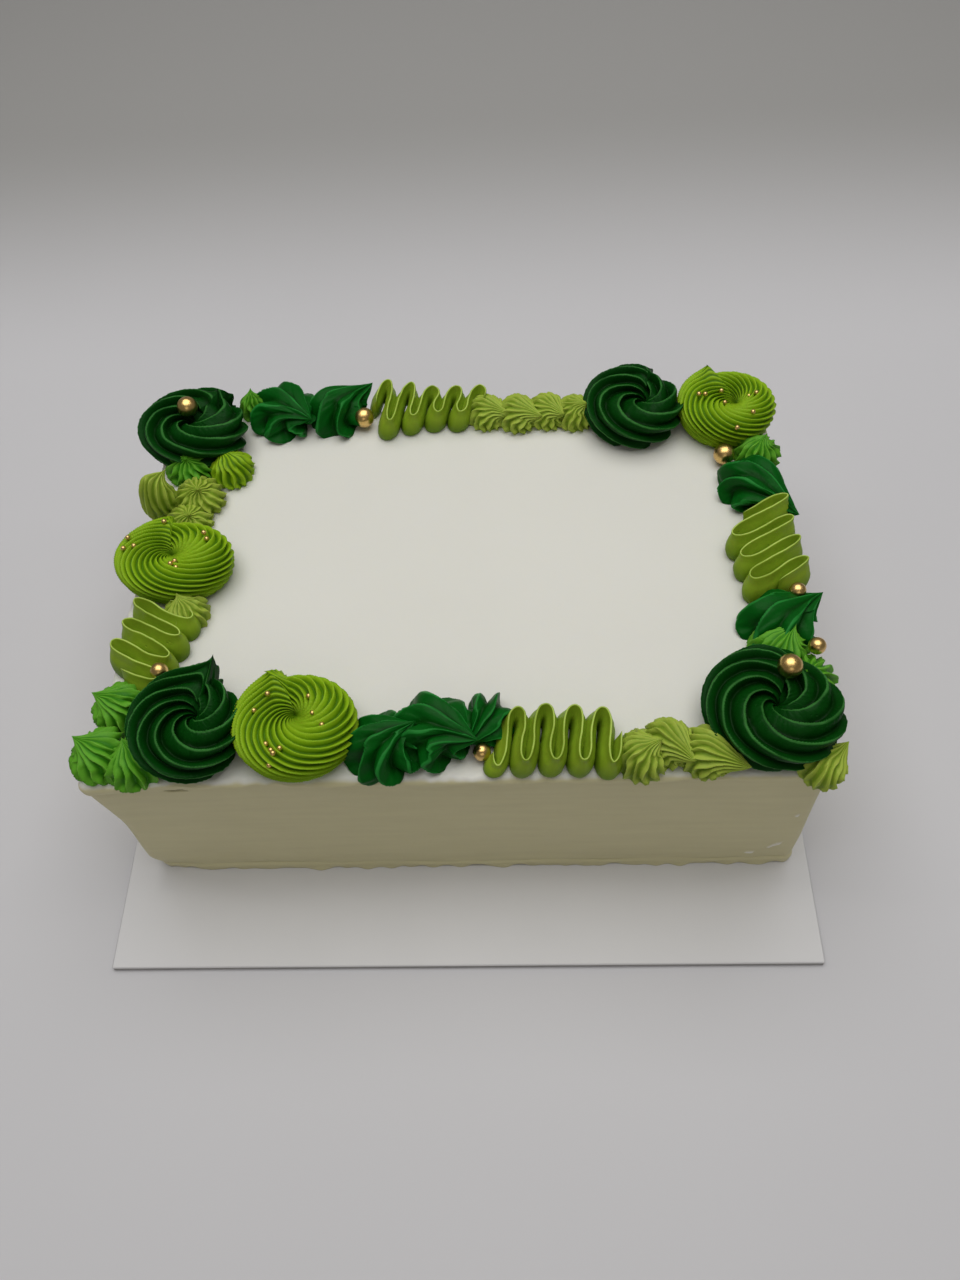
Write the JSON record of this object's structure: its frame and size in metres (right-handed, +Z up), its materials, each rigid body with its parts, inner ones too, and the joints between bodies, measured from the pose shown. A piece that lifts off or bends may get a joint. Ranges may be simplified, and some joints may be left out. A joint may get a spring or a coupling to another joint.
{
  "type": "sheet cake",
  "caption": "Rectangular sheet cake in smooth white icing on a thin square card board, with a border of green piped rosettes, shells, drops and ruffles and gold sugar pearls.",
  "frame": {"origin": "middle of the underside of the board, which the cake rests on", "axes": "+Z up, +X to the right and +Y to the back, seen from the long front side; the long side lies along X"},
  "size_m": [0.305, 0.305, 0.1115],
  "materials": {
    "board": "smooth white coated card",
    "white_icing": "smooth soft buttercream",
    "dark_green_icing": "soft sheen buttercream",
    "emerald_icing": "soft sheen buttercream",
    "mid_green_icing": "soft sheen buttercream",
    "lime_icing": "soft sheen buttercream",
    "olive_icing": "soft sheen buttercream",
    "pale_green_icing": "soft sheen buttercream",
    "gold_pearl": "satin metallic sugar pearl"
  },
  "bodies": {
    "root": {"board": "board", "cake": "white_icing", "ruffle_back": "olive_icing", "drop_back": "mid_green_icing", "rosette_dark_back_left": "dark_green_icing", "shell_emerald_back_left": "emerald_icing", "shell_emerald_back_right": "emerald_icing", "shell_pale_back_1": "pale_green_icing", "shell_pale_back_2": "pale_green_icing", "shell_pale_back_3": "pale_green_icing", "drop_pale_back": "pale_green_icing", "rosette_dark_back_right": "dark_green_icing", "rosette_lime_back_right": "lime_icing", "drop_right_back": "mid_green_icing", "ruffle_right": "olive_icing", "shell_emerald_right_back": "emerald_icing", "shell_emerald_right_front": "emerald_icing", "drop_right_front": "mid_green_icing", "drop_right_corner": "mid_green_icing", "shell_pale_corner": "pale_green_icing", "rosette_dark_front_right": "dark_green_icing", "shell_pale_front_2": "pale_green_icing", "shell_pale_front_3": "pale_green_icing", "ruffle_front": "olive_icing", "drop_pale_front_1": "pale_green_icing", "shell_emerald_front_3": "emerald_icing", "drop_left_front_upper": "mid_green_icing", "ruffle_left": "olive_icing", "rosette_dark_front_left": "dark_green_icing", "rosette_lime_front": "lime_icing", "shell_emerald_front_1": "emerald_icing", "shell_emerald_front_2": "emerald_icing", "drop_left_front_corner": "mid_green_icing", "drop_left_front_lower": "mid_green_icing", "drop_left_back": "mid_green_icing", "drop_left_back_inner": "lime_icing", "drop_pale_left_back_1": "pale_green_icing", "drop_pale_left_back_2": "pale_green_icing", "drop_pale_left_back_3": "pale_green_icing", "rosette_lime_left": "lime_icing", "drop_pale_left_front": "pale_green_icing", "pearl_dark_back_left": "gold_pearl", "pearl_emerald_back": "gold_pearl", "pearl_right_back": "gold_pearl", "pearl_emerald_right": "gold_pearl", "pearl_right_corner": "gold_pearl", "pearl_dark_front_right": "gold_pearl", "pearl_ruffle_front": "gold_pearl", "pearl_ruffle_left": "gold_pearl"}
  },
  "joints": []
}
